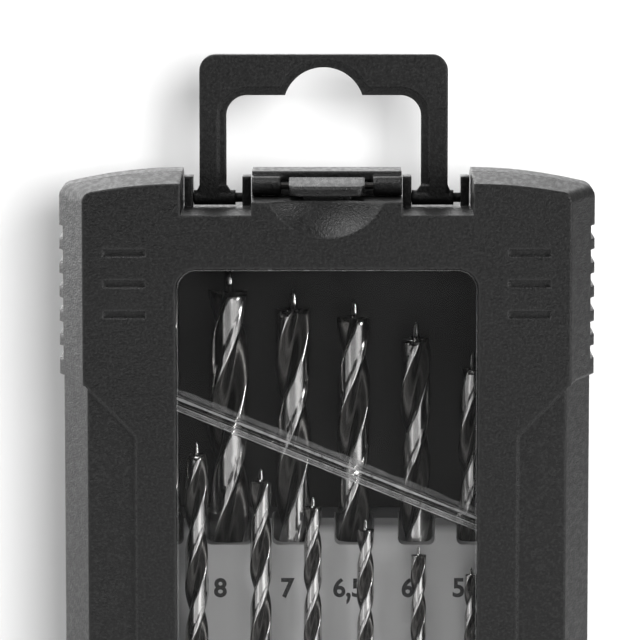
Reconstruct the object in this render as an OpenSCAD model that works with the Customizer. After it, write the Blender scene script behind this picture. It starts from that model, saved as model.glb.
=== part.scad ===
// Drill bit case: a hinged two-part case with a window, a latch, a folding hanger and a rack of bits.
// The case stands upright. +Z is up, +X is to the right, and the front faces -Y. Millimetres.
// The origin is the centre of the footprint, on the surface that the case stands on.

/* [Case] */
// Width across the cap, at the rim where the two halves meet
cap_w = 99.7; // [97:0.1:106]
// Height of the two halves, without the hanger
case_h = 145; // [144:0.5:150]
// Depth from the front face to the back face
case_d = 31; // [30.5:0.25:34]
// How far the rim lies in front of the middle of the depth
rim_forward = 2; // [1.5:0.25:2.25]
// Wall thickness
wall = 1.8; // [1.5:0.1:2]
// Gap between the two halves at the rim
rim_gap = 0.3; // [0.2:0.05:0.5]
// How much narrower the front face is on each side than the rim
front_draft = 5; // [3:0.25:5.5]
// How far the top edge falls from the rim to the front face
top_draft = 1.1; // [0.5:0.1:1.6]
// How far the back face is drawn in on each side
back_draft = 3; // [1:0.25:4]
// Half length of the straight middle of the top edge
top_straight = 27; // [22:1:32]
// Radius of the shoulders that fall away to each side
shoulder_r = 87; // [70:1:140]
// Radius of the upper corners
corner_r = 2; // [1:0.25:3]
// Radius of the lower corners
foot_r = 4; // [2:0.5:6]

/* [Cap and side panels] */
// Height of the deeper cap, from its lower edge on the sides to the top
cap_h = 37.8; // [31:0.5:44.5]
// How far the panels below the cap lie under its surface
panel_step = 0.8; // [0.4:0.1:1.1]
// Half width of the raised middle of the front face
middle_half_w = 35.2; // [32:0.2:38]
// How far below the cap's lower edge the slanting edges meet the raised middle
slant_h = 9.9; // [8.4:0.1:15]
// Number of grip grooves on each side
grip_count = 6; // [3:1:7]
// Height of one grip groove
grip_h = 2.5; // [1.5:0.1:3]
// Distance from groove to groove
grip_pitch = 4.5; // [3.5:0.1:4.8]
// How far the highest groove lies under the top
grip_drop = 9.9; // [8:0.1:12]
// Depth of a grip groove
grip_depth = 0.8; // [0.4:0.1:1]
// Number of bars let into the face on each side of the window
bar_count = 3; // [2:1:4]
// Length of one bar
bar_l = 7.6; // [5:0.2:9]
// Height of one bar
bar_h = 1.3; // [0.8:0.1:2]
// Distance from bar to bar
bar_pitch = 5.7; // [4:0.1:7]
// How far the middle of the highest bar lies under the top
bar_drop = 13.8; // [12:0.2:16]
// Distance of the middle of a bar from the middle of the case
bar_x = 37.2; // [36:0.1:38.5]
// Depth of a bar
bar_depth = 0.6; // [0.3:0.1:1]

/* [Window] */
// Half width of the window opening
window_half_w = 27.8; // [24:0.2:30]
// How far the top of the window opening lies under the top
window_drop = 16.8; // [15.6:0.2:25]
// Bottom of the window opening
window_bottom_z = 22; // [16:1:40]
// Corner radius of the window opening
window_r = 3.8; // [2:0.2:6]
// Thickness of the clear pane
pane_t = 1.3; // [1:0.1:1.5]
// How far the pane laps behind the frame on each side
pane_lap = 3; // [2:0.25:4]
// How far the middle of the slanting rib lies under the top, on the middle line
rib_drop = 53; // [49:0.5:55]
// Angle at which the rib falls to the right
rib_angle = 22; // [20:1:23]
// How far the rib stands in behind the pane
rib_depth = 7; // [4:0.25:7.5]
// Thickness of the rib's upper wall
rib_t = 1.2; // [0.8:0.1:1.6]
// Distance between the rib's two walls
rib_spacing = 3.4; // [2.4:0.1:4]

/* [Lid hinge] */
// Height of the hinge axis
hinge_z = 2.2; // [2.1:0.1:2.6]
// Radius of a hinge knuckle
knuckle_r = 1.9; // [1.7:0.05:2]
// Radius of a hinge pin
hinge_pin_r = 0.8; // [0.6:0.05:0.9]
// Running clearance of the lid's knuckle on the pin
hinge_fit = 0.05; // [0.02:0.01:0.1]
// Half width of the trough between the halves, at the surface that the case stands on
trough_half_w = 3; // [2.9:0.1:3.3]
// Distance of the middle of a hinge from the middle of the case
hinge_x = 30; // [24:1:34]
// Length of the lid's knuckle
lid_knuckle_l = 8; // [6:0.5:10]
// Length of each of the two outer knuckles
shell_knuckle_l = 5; // [4:0.5:6]
// Gap between knuckles
knuckle_gap = 0.3; // [0.2:0.05:0.5]

/* [Hanger] */
// Width across the hanger's legs
hanger_w = 46.4; // [44:0.2:47]
// Height of the hanger above its axis
hanger_rise = 26.8; // [22:0.2:32]
// Thickness of the hanger, front to back
hanger_t = 2.6; // [2:0.1:2.6]
// Width of a leg
leg_w = 5; // [4:0.1:6]
// Height of the top bar
top_bar_h = 7.6; // [6:0.2:9]
// Outer corner radius
hanger_corner_r = 3; // [1.5:0.25:5]
// Radius of the inner corners
hanger_inner_r = 3.9; // [1.5:0.1:5]
// Width of the bevel round the opening
hanger_bevel = 1.5; // [0.5:0.1:1.6]
// Radius of the centring notch in the top bar
hook_r = 7.6; // [5:0.2:9]
// How far the middle of the centring notch lies under the bar's lower edge
hook_drop = 2.4; // [2:0.1:3.5]
// Sideways play taken up towards the left
hanger_shift = 0.6; // [0:0.1:0.9]
// Radius of the round foot on the axis
barrel_r = 1.4; // [1.35:0.05:1.5]
// Radius of the pin at each end of a foot
trunnion_r = 0.9; // [0.6:0.05:1]
// Running clearance of the pin in its ear
trunnion_fit = 0.06; // [0.02:0.01:0.1]
// How far the hanger's axis lies behind the middle of the depth
hanger_y = 4.2; // [4:0.1:5]
// Height of the hanger's axis over the floor of its channel
axle_lift = 1.7; // [1.65:0.05:1.9]
// Inner edge of the hanger's channels, from the middle of the case
channel_in = 13.9; // [13:0.1:14.2]
// Outer edge of the hanger's channels, from the middle of the case
channel_out = 26.9; // [26.8:0.1:27.5]
// Depth of a channel in the shell, under the top
channel_drop = 7.1; // [6.4:0.1:7.2]
// Depth of a channel in the lid, under the top
lid_channel_drop = 6.9; // [6.4:0.1:7]
// Thickness of an ear
ear_t = 1.6; // [1.2:0.1:1.7]
// Height of an ear over the channel floor
ear_h = 5.8; // [4:0.1:6.5]
// Depth of an ear, front to back
ear_d = 4.4; // [3.6:0.1:5]
// Gap beside a channel's ear, on the side away from the leg
ear_gap = 0.3; // [0.2:0.1:0.6]

/* [Latch] */
// How far the ledge that the latch closes over lies under the top
ledge_drop = 4.5; // [4.4:0.1:5]
// How far the latch pin lies in front of the middle of the depth
latch_forward = 4.5; // [4.3:0.1:4.8]
// Height of the latch pin above the ledge
latch_pin_lift = 2.05; // [2:0.05:2.3]
// Radius of the latch pin
latch_pin_r = 0.6; // [0.4:0.05:0.8]
// Running clearance of the latch on its pin
latch_fit = 0.05; // [0.02:0.01:0.1]
// Radius of the lugs that carry the pin
lug_r = 1.7; // [1.5:0.05:1.75]
// Half width of the latch
latch_half_w = 7; // [6:0.1:7.4]
// Distance of the lugs' inner faces from the middle of the case
lug_in = 8.6; // [8:0.1:9]
// How far the latch reaches in front of its pin
latch_reach = 7.7; // [7.2:0.1:8]
// How far the latch reaches behind its pin
latch_tail = 2.2; // [1.9:0.1:2.3]
// Thickness of the latch's lip
lip_t = 1.7; // [1.4:0.1:1.9]
// Half width of the tooth under the latch
tooth_half_w = 4.5; // [3:0.1:5]
// How deep the tooth reaches into the ledge
tooth_bite = 0.8; // [0.5:0.1:1]
// Thickness of the tooth
tooth_t = 1.1; // [0.8:0.1:1.3]
// Distance from the latch pin to the tooth's rear face
tooth_forward = 4; // [3.8:0.1:4.2]
// Clearance of the tooth in its slot
tooth_gap = 0.3; // [0.2:0.05:0.5]
// Radius of the thumb scoop where it meets the front face
scoop_r = 11.9; // [10:0.1:12.5]
// How far the scoop's middle lies over the top
scoop_rise = 0.7; // [-0.4:0.1:1.5]
// Depth of the scoop's ball middle in front of the front face
scoop_out = 13; // [12:0.5:16]

/* [Rack] */
// Free space between the rack and the case's side wall
rack_gap = 2.85; // [2.65:0.05:3.25]
// Bottom of the rack
rack_bottom_z = 7.6; // [7.5:0.1:7.8]
// Top of the rear tier's columns
rack_top_z = 80; // [78:0.5:84]
// Height at which the rear tier's pockets end
pocket_z = 74.9; // [70:0.5:76]
// Free space between the front tier and the pane
pane_gap = 0.4; // [0.3:0.05:0.6]
// Free space between the front tier's ends and the lid's side walls
tier_gap = 0.6; // [0.4:0.05:1.2]
// Free space between the rear tier and the case's back wall
back_gap = 3.9; // [2.9:0.1:4.3]
// Distance from the front tier's face to the front row of bits
front_wall = 3.7; // [3.4:0.1:3.8]
// Distance from the front row of bits to the numbered face behind it
face_step = 4.3; // [4.1:0.1:4.5]
// Distance from the rear row of bits to the back of the rack
rear_wall = 6; // [5.8:0.1:6.2]
// Top of the front tier
tier_top_z = 48; // [40:1:54]
// Bottom of the front tier
tier_bottom_z = 12.5; // [12:0.1:13]
// Clearance round a bit in its socket
socket_gap = 0.15; // [0.1:0.01:0.25]
// Extra width of a pocket on each side of its bit
pocket_gap = 0.45; // [0.3:0.05:0.6]
// Corner radius at the bottom of a pocket
pocket_r = 1.2; // [0.5:0.1:1.5]
// Height of the rack's pivot
pivot_z = 12; // [11.8:0.1:12.5]
// How far the rack's pivot lies behind the middle of the depth
pivot_back = 0.8; // [0.8:0.1:1]
// Radius of the rack's pivot pins
pivot_r = 1.4; // [1.2:0.05:1.5]
// Running clearance of the pivot pins
pivot_fit = 0.06; // [0.02:0.01:0.1]
// Outer radius of the pivot bosses
pivot_boss_r = 2.5; // [2.4:0.1:2.5]
// Gap between the rack and the pivot bosses
pivot_gap = 0.4; // [0.2:0.05:0.6]

/* [Bits] */
// Helix angle of the flutes
helix_angle = 25; // [22:1:30]
// Core thickness, as a part of a bit's diameter
web = 0.36; // [0.25:0.01:0.5]
// Angle that one land covers
land_angle = 82; // [60:2:90]
// Height of the brad point, as a part of a bit's diameter
brad_h = 0.55; // [0.3:0.01:0.7]
// Width of the brad point where it leaves the shoulder, as a part of a bit's diameter
brad_w = 0.26; // [0.2:0.01:0.3]
// Depth of the hollow between the brad point and the spurs, as a part of a bit's diameter
spur_h = 0.16; // [0.08:0.01:0.18]
// Width of the rim that the hollow leaves on each land, as a part of a bit's diameter
spur_w = 0.06; // [0.04:0.01:0.1]
// How far the lands lie under the shank's surface, as a part of a bit's diameter
land_relief = 0.01; // [0.01:0.005:0.03]

/* [Hidden] */

front_y = -case_d / 2;
back_y = case_d / 2;
// Depth at which the back begins to draw in
draft_y = back_y / 2;
rim_y = -rim_forward;
shell_rim_y = rim_y + rim_gap;
half_w = cap_w / 2;
cap_z = case_h - cap_h;
middle_z = cap_z - slant_h;
grip_top_z = case_h - grip_drop;
bar_top_z = case_h - bar_drop;
window_top_z = case_h - window_drop;
rib_z = case_h - rib_drop;
channel_z = case_h - channel_drop;
lid_channel_z = case_h - lid_channel_drop;
ledge_z = case_h - ledge_drop;
scoop_z = case_h + scoop_rise;
pane_y0 = front_y + panel_step + wall;
pane_y1 = pane_y0 + pane_t;
rack_half_w = half_w - panel_step - wall - rack_gap;
rack_front = -pane_y1 - pane_gap;
front_row = rack_front - front_wall;
rack_face = front_row - face_step;
rack_back = back_y - panel_step - wall - back_gap;
rear_row = rack_back - rear_wall;
// The rack and its bits are drawn for a case of this height, and grow with a higher one
drawn_h = 145;
rise = case_h / drawn_h;
// Thickness of the slices that a drafted form is drawn between
slice = 0.01;
// How far a cut runs past the surface that it opens
over = 1;
// Facets of a full circle
fine = 64;
small_fn = 24;
// Turn of the flutes from one slice of a bit to the next
twist_step = 30;
// Wall of the curved gutter over the hinge trough
gutter_t = 1.3;
// Height of the arm that carries a hinge knuckle
arm_h = 1.9;
// Where the slanting edges of the cap meet its level lower edge, in from the side and down
cap_knee = [0.3, 0.6];
// Wall left over the end of the latch pin and of a pivot pin
latch_pin_cover = 1.2;
pivot_cover = 0.6;
// Free length at the end of a pin that turns
end_play = 0.2;
black = [0.13, 0.13, 0.135];
grey = [0.78, 0.79, 0.80];
steel = [0.72, 0.72, 0.74];

// Each bit: diameter, length, flute length, place along the rack's half width, height of its tip,
// and how far it is turned in its pocket
REAR_BITS = [[9, 125, 81, -0.716, 134.4, 0], [8, 117, 75, -0.414, 126.6, 18],
             [7, 109, 69, -0.142, 122.6, 88], [6.5, 101, 63, 0.115, 120.7, 16],
             [6, 93, 57, 0.378, 116.4, 129], [5.5, 93, 57, 0.619, 110.5, 122],
             [5, 86, 52, 0.847, 104, 40]];
FRONT_BITS = [[4.8, 86, 52, -0.806, 100, 110], [4.5, 80, 47, -0.547, 95.1, 91],
              [4.2, 75, 43, -0.277, 90, 12], [3.5, 70, 39, -0.059, 84.7, 128],
              [3.3, 65, 36, 0.162, 80.4, 141], [3, 61, 33, 0.385, 75.4, 18],
              [2.5, 57, 30, 0.606, 71.4, 144], [2, 49, 24, 0.811, 64, 75]];

function arc(cx, cz, r, a0, a1, steps) =
    [for (i = [0 : steps]) let (a = a0 + (a1 - a0) * i / steps) [cx + r * cos(a), cz + r * sin(a)]];

// Height of the top edge over a point of the width
function arch_z(x) =
    case_h - shoulder_r + sqrt(pow(shoulder_r, 2) - pow(max(abs(x) - top_straight, 0), 2));

// One half of the case's outline, from the middle of the foot to the middle of the top
function half_outline(w, drop, foot) =
    let (knee = w - corner_r, steps = 6)
    concat([[0, foot]],
           arc(w - foot_r, foot + foot_r, foot_r, -90, 0, 6),
           arc(knee, arch_z(knee) - drop - corner_r, corner_r, 0, 75, 4),
           [for (i = [0 : steps])
               let (x = knee - (knee - top_straight) * i / steps) [x, arch_z(x) - drop]],
           [[0, case_h - drop]]);

module outline(w, drop, foot) {
    half = half_outline(w, drop, foot);
    polygon(concat(half, [for (i = [len(half) - 2 : -1 : 1]) [-half[i][0], half[i][1]]]));
}

// A slab of the outline between two depths
module slab(y0, y1, w, drop, foot) {
    translate([0, y1, 0]) rotate([90, 0, 0]) linear_extrude(y1 - y0) outline(w, drop, foot);
}

// A flat shape in the width and height, carried through the depth
module through(y0, y1) {
    translate([0, y1, 0]) rotate([90, 0, 0]) linear_extrude(y1 - y0) children();
}

// A bar of round or flat section along X
module along_x(x0, x1, y, z) {
    translate([x0, y, z]) rotate([90, 0, 90]) linear_extrude(x1 - x0) children();
}

module block(low, high) {
    translate(low) cube(high - low);
}

module both_sides() {
    children();
    mirror([1, 0, 0]) children();
}

module lid_form(inset) {
    hull() {
        slab(rim_y - slice, rim_y, half_w - inset, 0, 0);
        slab(front_y + inset, front_y + inset + slice, half_w - front_draft - inset, top_draft, 0);
    }
}

module lid_cavity() {
    hull() {
        slab(rim_y, rim_y + over, half_w - wall - panel_step, wall, wall);
        slab(front_y + panel_step + wall, front_y + panel_step + wall + slice,
             half_w - front_draft - wall - panel_step, wall + top_draft, wall);
    }
}

module shell_form(inset) {
    hull() {
        slab(shell_rim_y, draft_y, half_w - inset, 0, 0);
        slab(back_y - slice, back_y, half_w - back_draft - inset, back_draft, 0);
    }
}

module shell_cavity() {
    hull() {
        slab(shell_rim_y - over, draft_y, half_w - wall - panel_step, wall, wall);
        slab(back_y - wall - slice, back_y - wall, half_w - back_draft - wall - panel_step,
             back_draft + wall, wall);
    }
}

// The cap and the raised middle of the front face
module raised_area() {
    polygon([[-half_w - over, case_h + over], [half_w + over, case_h + over],
             [half_w + over, cap_z], [half_w - front_draft + over, cap_z],
             [half_w - front_draft - cap_knee[0], cap_z - cap_knee[1]], [middle_half_w, middle_z],
             [middle_half_w, -over], [-middle_half_w, -over],
             [-middle_half_w, middle_z],
             [-half_w + front_draft + cap_knee[0], cap_z - cap_knee[1]],
             [-half_w + front_draft - over, cap_z], [-half_w - over, cap_z]]);
}

module cap_area() {
    translate([-half_w - over, cap_z]) square([cap_w + 2 * over, case_h]);
}

module grips() {
    for (i = [0 : grip_count - 1])
        translate([half_w - grip_depth, -case_d, grip_top_z - grip_h - i * grip_pitch])
            cube([grip_depth + over, 2 * case_d, grip_h]);
}

module channel(floor_z, pad) {
    block([channel_in - pad, front_y - over, floor_z - pad],
          [channel_out + pad, back_y + over, case_h + over]);
}

module ledge_cut(pad) {
    block([-channel_in - over - pad, front_y - over, ledge_z - pad],
          [channel_in + over + pad, rim_y + over, case_h + over]);
}

module window_area(grow) {
    w = 2 * (window_half_w + grow);
    h = window_top_z - window_bottom_z + 2 * grow;
    r = window_r + grow;
    translate([-w / 2 + r, window_bottom_z - grow]) square([w - 2 * r, h]);
    translate([-w / 2, window_bottom_z - grow + r]) square([w, h - 2 * r]);
    for (x = [-1, 1], z = [0, 1])
        translate([x * (w / 2 - r), window_bottom_z - grow + r + z * (h - 2 * r)])
            circle(r, $fn = fine);
}

// Radius of the trough that the hinge knuckles lie in
trough_r = sqrt(pow(trough_half_w, 2) + pow(hinge_z, 2));

module trough() {
    along_x(-half_w - over, half_w + over, rim_y, hinge_z) circle(trough_r, $fn = fine);
}

// Half of the curved wall that closes the case round the trough
module gutter(y0, y1) {
    intersection() {
        along_x(-half_w + wall, half_w - wall, rim_y, hinge_z) circle(trough_r + gutter_t, $fn = fine);
        block([-half_w, y0, 0], [half_w, y1, case_h]);
    }
}

// A knuckle with the arm that carries it, reaching forward or back to the gutter
module knuckle(x0, x1, bore_r, side) {
    difference() {
        union() {
            along_x(x0, x1, rim_y, hinge_z) circle(knuckle_r, $fn = fine);
            along_x(x0, x1, rim_y, hinge_z)
                translate([side > 0 ? 0 : -trough_r - gutter_t / 2, 0])
                    square([trough_r + gutter_t / 2, arm_h]);
        }
        along_x(x0 - over, x1 + over, rim_y, hinge_z) circle(bore_r, $fn = fine);
    }
}

lid_knuckle_x0 = hinge_x - lid_knuckle_l / 2;
lid_knuckle_x1 = hinge_x + lid_knuckle_l / 2;
hinge_x0 = lid_knuckle_x0 - knuckle_gap - shell_knuckle_l;
hinge_x1 = lid_knuckle_x1 + knuckle_gap + shell_knuckle_l;

latch_y = -latch_forward;
latch_z = ledge_z + latch_pin_lift;
axle_z = channel_z + axle_lift;
ear_out_x = channel_out - ear_gap;
ear_in_x = channel_in + ear_gap;
pivot_pin_end = half_w - panel_step - pivot_cover;
latch_pin_end = channel_in - latch_pin_cover;

module ear(x0) {
    difference() {
        block([x0, hanger_y - ear_d / 2, channel_z - wall / 2],
              [x0 + ear_t, hanger_y + ear_d / 2, channel_z + ear_h]);
        along_x(x0 - over, x0 + ear_t + over, hanger_y, axle_z)
            circle(trunnion_r + trunnion_fit, $fn = fine);
    }
}

module lug() {
    difference() {
        union() {
            along_x(lug_in, channel_in, latch_y, latch_z) circle(lug_r, $fn = fine);
            block([lug_in, latch_y, latch_z - lug_r], [channel_in, shell_rim_y + over, latch_z + lug_r]);
        }
        along_x(lug_in - over, latch_pin_end, latch_y, latch_z) circle(latch_pin_r, $fn = fine);
    }
}

module pivot_boss() {
    inner_x = rack_half_w + pivot_gap;
    difference() {
        along_x(inner_x, half_w - panel_step - wall / 2, pivot_back, pivot_z)
            circle(pivot_boss_r, $fn = fine);
        along_x(inner_x - over, pivot_pin_end + end_play, pivot_back, pivot_z)
            circle(pivot_r + pivot_fit, $fn = fine);
    }
}

module rear_shell() {
    color(black) {
        difference() {
            union() {
                intersection() {
                    shell_form(0);
                    through(-case_d, case_d) cap_area();
                }
                shell_form(panel_step);
            }
            difference() {
                shell_cavity();
                both_sides() channel(channel_z, wall);
                gutter(rim_y, case_d);
            }
            both_sides() channel(channel_z, 0);
            both_sides() grips();
            trough();
            both_sides() along_x(rack_half_w, pivot_pin_end + end_play, pivot_back, pivot_z)
                circle(pivot_r + pivot_fit, $fn = fine);
        }
        both_sides() pivot_boss();
        both_sides() ear(ear_in_x);
        both_sides() ear(ear_out_x - ear_t);
        both_sides() lug();
        both_sides() knuckle(hinge_x0, hinge_x0 + shell_knuckle_l, hinge_pin_r, 1);
        both_sides() knuckle(hinge_x1 - shell_knuckle_l, hinge_x1, hinge_pin_r, 1);
    }
}

scoop_ball_r = sqrt(pow(scoop_r, 2) + pow(scoop_out, 2));

module scoop_ball(grow) {
    translate([0, front_y - scoop_out, scoop_z]) sphere(scoop_ball_r + grow, $fn = fine);
}

tooth_rear_y = latch_y - tooth_forward;
tooth_front_y = tooth_rear_y - tooth_t;

module lid_frame() {
    color(black) {
        difference() {
            union() {
                intersection() {
                    lid_form(0);
                    through(-case_d, case_d) raised_area();
                }
                lid_form(panel_step);
            }
            difference() {
                lid_cavity();
                both_sides() channel(lid_channel_z, wall);
                ledge_cut(wall);
                scoop_ball(wall);
                gutter(-case_d, rim_y);
            }
            both_sides() channel(lid_channel_z, 0);
            ledge_cut(0);
            scoop_ball(0);
            both_sides() grips();
            trough();
            through(-case_d, rim_y) window_area(0);
            both_sides() for (i = [0 : bar_count - 1])
                block([bar_x - bar_l / 2, front_y - over, bar_top_z - bar_h / 2 - i * bar_pitch],
                      [bar_x + bar_l / 2, front_y + bar_depth, bar_top_z + bar_h / 2 - i * bar_pitch]);
            block([-tooth_half_w - tooth_gap, tooth_front_y - tooth_gap - tooth_bite, ledge_z - 2 * wall],
                  [tooth_half_w + tooth_gap, tooth_rear_y + tooth_gap, ledge_z + over]);
        }
        both_sides() knuckle(lid_knuckle_x0, lid_knuckle_x1, hinge_pin_r + hinge_fit, -1);
    }
}

rib_low_t = rib_t * 0.7;

module rib_wall(shift, t) {
    translate([0, pane_y1 + rib_depth, rib_z]) rotate([90, 0, 0])
        linear_extrude(rib_depth + pane_t / 2) intersection() {
            rotate(-rib_angle) translate([-case_h, shift - t / 2]) square([2 * case_h, t]);
            square([2 * (window_half_w + pane_lap / 2), case_h], center = true);
        }
}

module window_pane() {
    color([0.8, 0.85, 0.9, 0.25]) {
        through(pane_y0, pane_y1) window_area(pane_lap);
        rib_wall(0, rib_t);
        rib_wall(-rib_spacing, rib_low_t);
    }
}

module hinge_pin() {
    along_x(hinge_x0, hinge_x1, rim_y, hinge_z) circle(hinge_pin_r, $fn = fine);
}

module hinge_pin_right() {
    color(steel) hinge_pin();
}

module hinge_pin_left() {
    color(steel) mirror([1, 0, 0]) hinge_pin();
}

latch_top = 1.4;
latch_under = -1;
latch_crown_r = lug_r - 0.1;
latch_corner_r = 1.8;
// Recess in the middle of the plate's rear edge: radius, half width, and how far its centre lies behind
tail_recess = [5.2, 3.3, 3.4];

// Side view of the latch about its pin: a curved plate with a turned-down lip
module latch_side() {
    tail_t = 0.9;
    lip_top = 0.5;
    lip_w = 1.6;
    ease = 0.5;
    polygon([[latch_tail, latch_top - tail_t], [latch_tail, latch_top], [0, latch_crown_r],
             [-latch_reach / 2, latch_top - ease / 2], [-latch_reach + ease, lip_top],
             [-latch_reach, lip_top - ease], [-latch_reach, lip_top - lip_t],
             [-latch_reach + lip_w, lip_top - lip_t], [-latch_reach + lip_w + ease, latch_under],
             [0, latch_under]]);
    circle(latch_crown_r, $fn = fine);
}

module tail_recess_cut() {
    translate([0, latch_y + latch_tail, latch_z]) intersection() {
        translate([0, tail_recess[2], 0]) cylinder(r = tail_recess[0], h = 2 * latch_top, $fn = fine);
        block([-tail_recess[1], -latch_tail, 0], [tail_recess[1], over, 2 * latch_top]);
    }
}

// What a rounded front corner takes off the plate
module latch_corner_cut() {
    r = latch_corner_r;
    translate([latch_half_w - r, latch_y - latch_reach + r, 0]) difference() {
        block([0, -r - over, 0], [r + over, 0, case_h + over]);
        cylinder(r = r, h = case_h + over, $fn = fine);
    }
}

module latch() {
    color(black) difference() {
        union() {
            along_x(-latch_half_w, latch_half_w, latch_y, latch_z) latch_side();
            block([-tooth_half_w, tooth_front_y, ledge_z - tooth_bite],
                  [tooth_half_w, tooth_rear_y, latch_z + latch_under / 2]);
        }
        along_x(-latch_half_w - over, latch_half_w + over, latch_y, latch_z)
            circle(latch_pin_r + latch_fit, $fn = fine);
        tail_recess_cut();
        both_sides() latch_corner_cut();
    }
}

module latch_pin() {
    color(steel) along_x(-latch_pin_end, latch_pin_end, latch_y, latch_z) circle(latch_pin_r, $fn = fine);
}

hanger_top = axle_z + hanger_rise;
hanger_in = hanger_w / 2 - leg_w;
bar_low = hanger_top - top_bar_h;
// Least free length between a foot and an ear
foot_play = 0.1;
foot_out = ear_out_x - ear_t - hanger_shift - foot_play;
foot_w = foot_out - (ear_in_x + ear_t + hanger_shift + foot_play);
// How far a trunnion's end lies inside the outer face of its ear
trunnion_play = 0.1;
// Depth of the bevel round the opening
hanger_bevel_t = 0.8;
// How far the flared foot of a leg lies inside the leg's faces, and its height over the axis
flare_inset = 0.2;
flare_h = 4.4;
// How far the flare starts inside the two ends of the round foot
flare_in = 0.6;
flare_out = 0.4;

module rounded_corner_square(w, h, r) {
    translate([-w / 2, 0]) square([w, h - r]);
    translate([-w / 2 + r, 0]) square([w - 2 * r, h]);
    both_sides_2d() translate([w / 2 - r, h - r]) circle(r, $fn = fine);
}

module both_sides_2d() {
    children();
    mirror([1, 0]) children();
}

module hanger_face(grow) {
    difference() {
        translate([0, axle_z]) rounded_corner_square(hanger_w, hanger_rise, hanger_corner_r);
        translate([0, axle_z - over])
            rounded_corner_square(2 * (hanger_in + grow), bar_low + grow - axle_z + over,
                                  hanger_inner_r + grow);
        translate([0, bar_low - hook_drop]) circle(hook_r + grow, $fn = fine);
    }
}

module hanger() {
    hanger_front = hanger_y - hanger_t / 2;
    hanger_back = hanger_y + hanger_t / 2;
    foot_in = foot_out - foot_w;
    color(black) {
        translate([-hanger_shift, 0, 0]) {
            through(hanger_front + hanger_bevel_t, hanger_back) hanger_face(0);
            through(hanger_front, hanger_front + hanger_bevel_t) hanger_face(hanger_bevel);
            both_sides() {
                along_x(foot_in, foot_out, hanger_y, axle_z) circle(barrel_r, $fn = fine);
                through(hanger_front + flare_inset, hanger_back - flare_inset)
                    polygon([[foot_in + flare_in, axle_z], [foot_out - flare_out, axle_z],
                             [hanger_w / 2, axle_z + flare_h], [hanger_in, axle_z + flare_h]]);
            }
        }
        // The trunnions reach through the ears on both sides, wherever the feet stand between them
        both_sides() {
            along_x(ear_in_x + trunnion_play, foot_in + hanger_shift + over, hanger_y, axle_z)
                circle(trunnion_r, $fn = fine);
            along_x(foot_out - hanger_shift - over, ear_out_x - trunnion_play, hanger_y, axle_z)
                circle(trunnion_r, $fn = fine);
        }
    }
}

// Bevel along the lower front edge of the rack
rack_chamfer = 1.6;
// Wall left beside each rear socket, and behind the numbered face
socket_wall = 1.4;
rack_web_y = 0.6;
// Height of the solid foot and of the band left along the top of the hollow back
rack_foot_h = 12;
rack_band_h = 3;
rack_top = rack_top_z * rise;
tier_top = tier_top_z * rise;

module socket(spec, y) {
    translate([spec[3] * rack_half_w, y, (spec[4] - spec[1]) * rise])
        cylinder(d = spec[0] + 2 * socket_gap, h = spec[1] * rise, $fn = fine);
}

// The open front of a rear pocket, rounded at its lower corners
module pocket(d, x) {
    w = d + 2 * pocket_gap;
    low = pocket_z * rise;
    translate([x - w / 2, low + pocket_r]) square([w, rack_top]);
    translate([x - w / 2 + pocket_r, low]) square([w - 2 * pocket_r, rack_top]);
    for (s = [-1, 1])
        translate([x + s * (w / 2 - pocket_r), low + pocket_r]) circle(pocket_r, $fn = fine);
}

// The lid's side walls lean in towards the front, so the tier is shorter than the rack
lean = front_draft * (rack_front + rim_y) / (rim_y - pane_y0);
tier_half_w = half_w - panel_step - wall - lean - tier_gap;

module rack_side() {
    polygon([[-rack_face + rack_chamfer, rack_bottom_z], [rack_back, rack_bottom_z],
             [rack_back, rack_top], [-rack_face, rack_top],
             [-rack_face, rack_bottom_z + rack_chamfer]]);
}

module tier_side() {
    polygon([[-rack_face + over, tier_bottom_z - over], [-rack_face + over, tier_top],
             [-rack_front, tier_top], [-rack_front, tier_bottom_z],
             [-rack_face, tier_bottom_z - over]]);
}

module rack() {
    color(grey) difference() {
        union() {
            along_x(-rack_half_w, rack_half_w, 0, 0) rack_side();
            along_x(-tier_half_w, tier_half_w, 0, 0) tier_side();
            both_sides() along_x(rack_half_w - over, pivot_pin_end, pivot_back, pivot_z)
                circle(pivot_r, $fn = fine);
        }
        for (b = REAR_BITS) {
            socket(b, rear_row);
            through(-rack_front, rear_row) pocket(b[0], b[3] * rack_half_w);
        }
        for (b = FRONT_BITS)
            socket(b, -front_row);
        // Hollow back, open to the rear between the sockets
        for (i = [0 : len(REAR_BITS) - 2])
            let (a = REAR_BITS[i], b = REAR_BITS[i + 1],
                 x0 = a[3] * rack_half_w + a[0] / 2 + socket_wall,
                 x1 = b[3] * rack_half_w - b[0] / 2 - socket_wall)
            block([x0, rack_web_y, rack_bottom_z + rack_foot_h],
                  [x1, rack_back + over, rack_top - rack_band_h]);
    }
}

half_land = land_angle / 2;
flute_step = (90 - half_land) / 3;
// How roundly the section falls from a land into a flute
flute_curve = 1.3;
// How far the brad point's root reaches down, and its hollow's cutter up, in depths of the hollow
root_reach = 1.25;
cutter_reach = 1.5;
// Radius of the blunt end of the brad point, as a part of its radius at the shoulder
tip_part = 0.125;

// Angles at which a bit's section is drawn, from the middle of one flute across a land to the next
SECTION_STEPS = concat([-90, -90 + flute_step, -90 + 2 * flute_step],
                       [for (i = [-2 : 2]) i * half_land / 2],
                       [90 - 2 * flute_step, 90 - flute_step]);

// Reach of the section at an angle, as a part of the bit's radius
function section_r(a) =
    let (land_r = 1 - 2 * land_relief, u = max(0, (abs(a) - half_land) / (90 - half_land)))
    land_r - (land_r - web) * pow(sin(90 * min(u, 1)), flute_curve);

module bit_section(d) {
    polygon([for (half = [0, 180], a = SECTION_STEPS)
        d / 2 * section_r(a) * [cos(a + half), sin(a + half)]]);
}

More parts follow.
